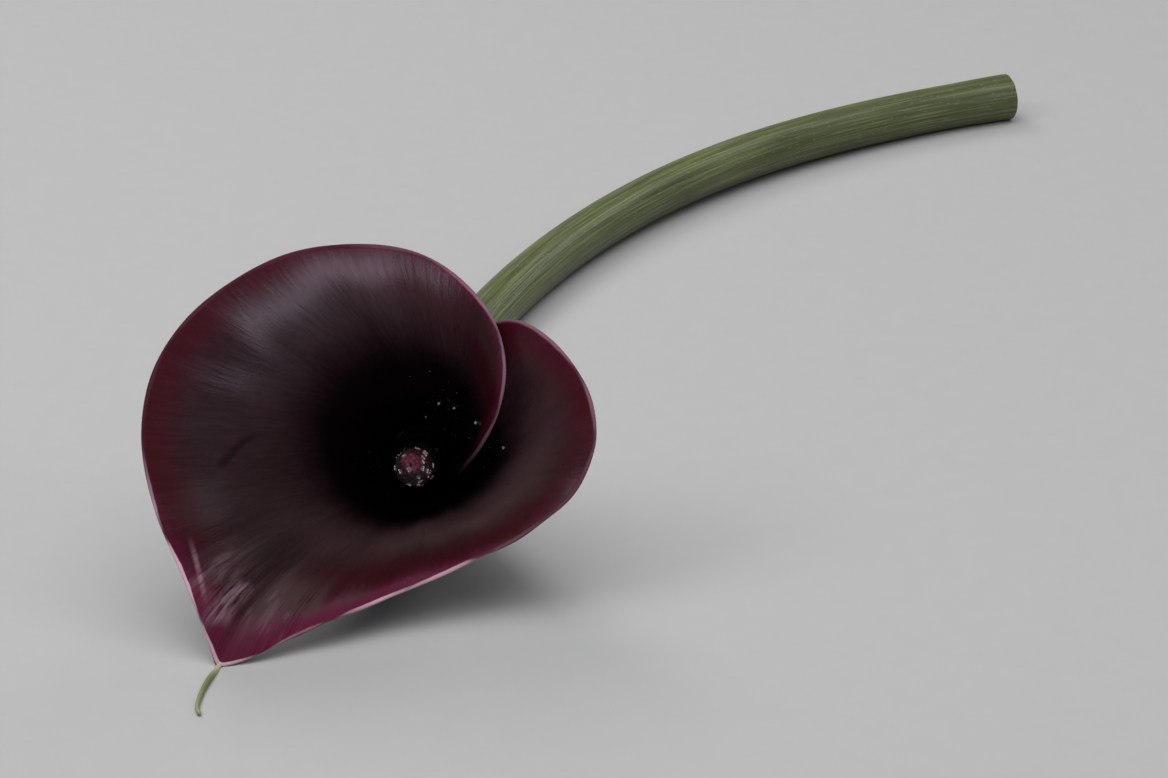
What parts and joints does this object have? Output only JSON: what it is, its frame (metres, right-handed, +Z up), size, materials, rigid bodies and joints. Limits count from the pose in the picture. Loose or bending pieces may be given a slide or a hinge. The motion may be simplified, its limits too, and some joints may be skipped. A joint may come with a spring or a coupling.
{
  "type": "arum lily flower",
  "caption": "Cut dark arum lily lying on its side: a rolled, flaring spathe with a hooked tail, a floret-covered spadix and a curved fleshy stem.",
  "frame": {"origin": "on the surface that the flower lies on, below the middle of its bounding box", "axes": "+Z up from the surface; the mouth of the bloom faces -Y and 26 degrees up; the stem runs back along +Y and bends towards +X"},
  "size_m": [0.2137, 0.3343, 0.0757],
  "materials": {
    "spathe": null,
    "spadix": null,
    "stem": null
  },
  "bodies": {
    "root": {"spathe": "spathe", "spadix": "spadix", "stem": "stem"}
  },
  "joints": []
}
